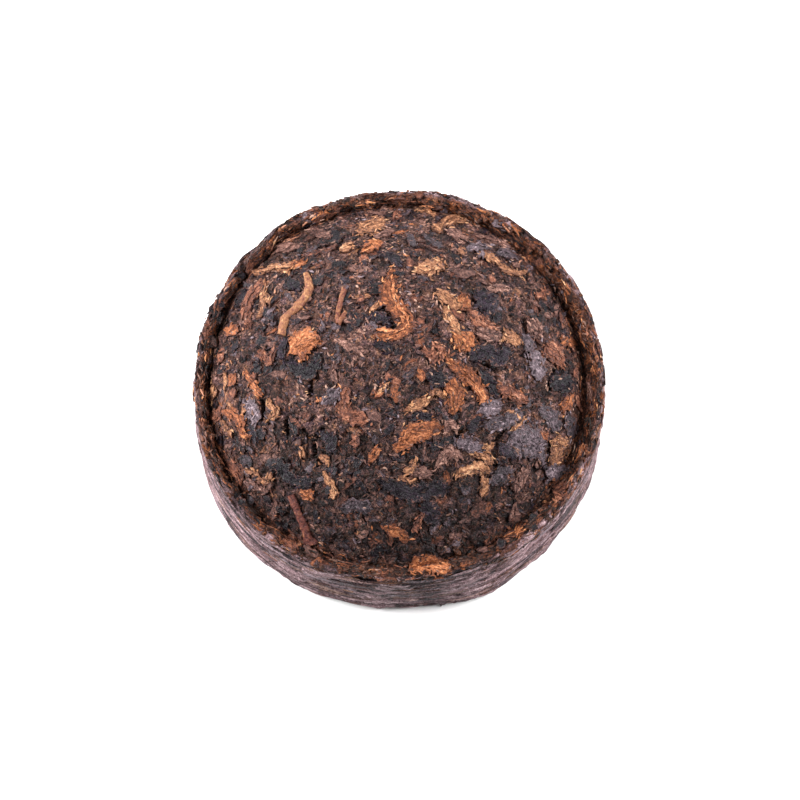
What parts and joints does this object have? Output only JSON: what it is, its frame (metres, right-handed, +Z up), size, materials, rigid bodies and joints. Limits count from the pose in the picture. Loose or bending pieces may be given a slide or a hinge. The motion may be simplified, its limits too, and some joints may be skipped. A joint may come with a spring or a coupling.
{
  "type": "pu erh tuocha",
  "caption": "Small nest-shaped cake of dark ripe tea leaves, pressed dry: a low dome inside a crumbly lip, an upright side and a bowl-shaped hollow in its foot",
  "frame": {"origin": "middle of the cake's outline, on the plane of its foot", "axes": "+Z up through the dome, with the picture's camera above and on the -Y side; +X to the right in the picture"},
  "size_m": [0.0282, 0.028, 0.0124],
  "materials": {
    "ripe_tea": "matte",
    "golden_leaf": "matte",
    "rust_leaf": "matte",
    "dark_leaf": "satin",
    "stalk": "matte"
  },
  "bodies": {
    "root": {"tea_cake": "ripe_tea"}
  },
  "joints": []
}
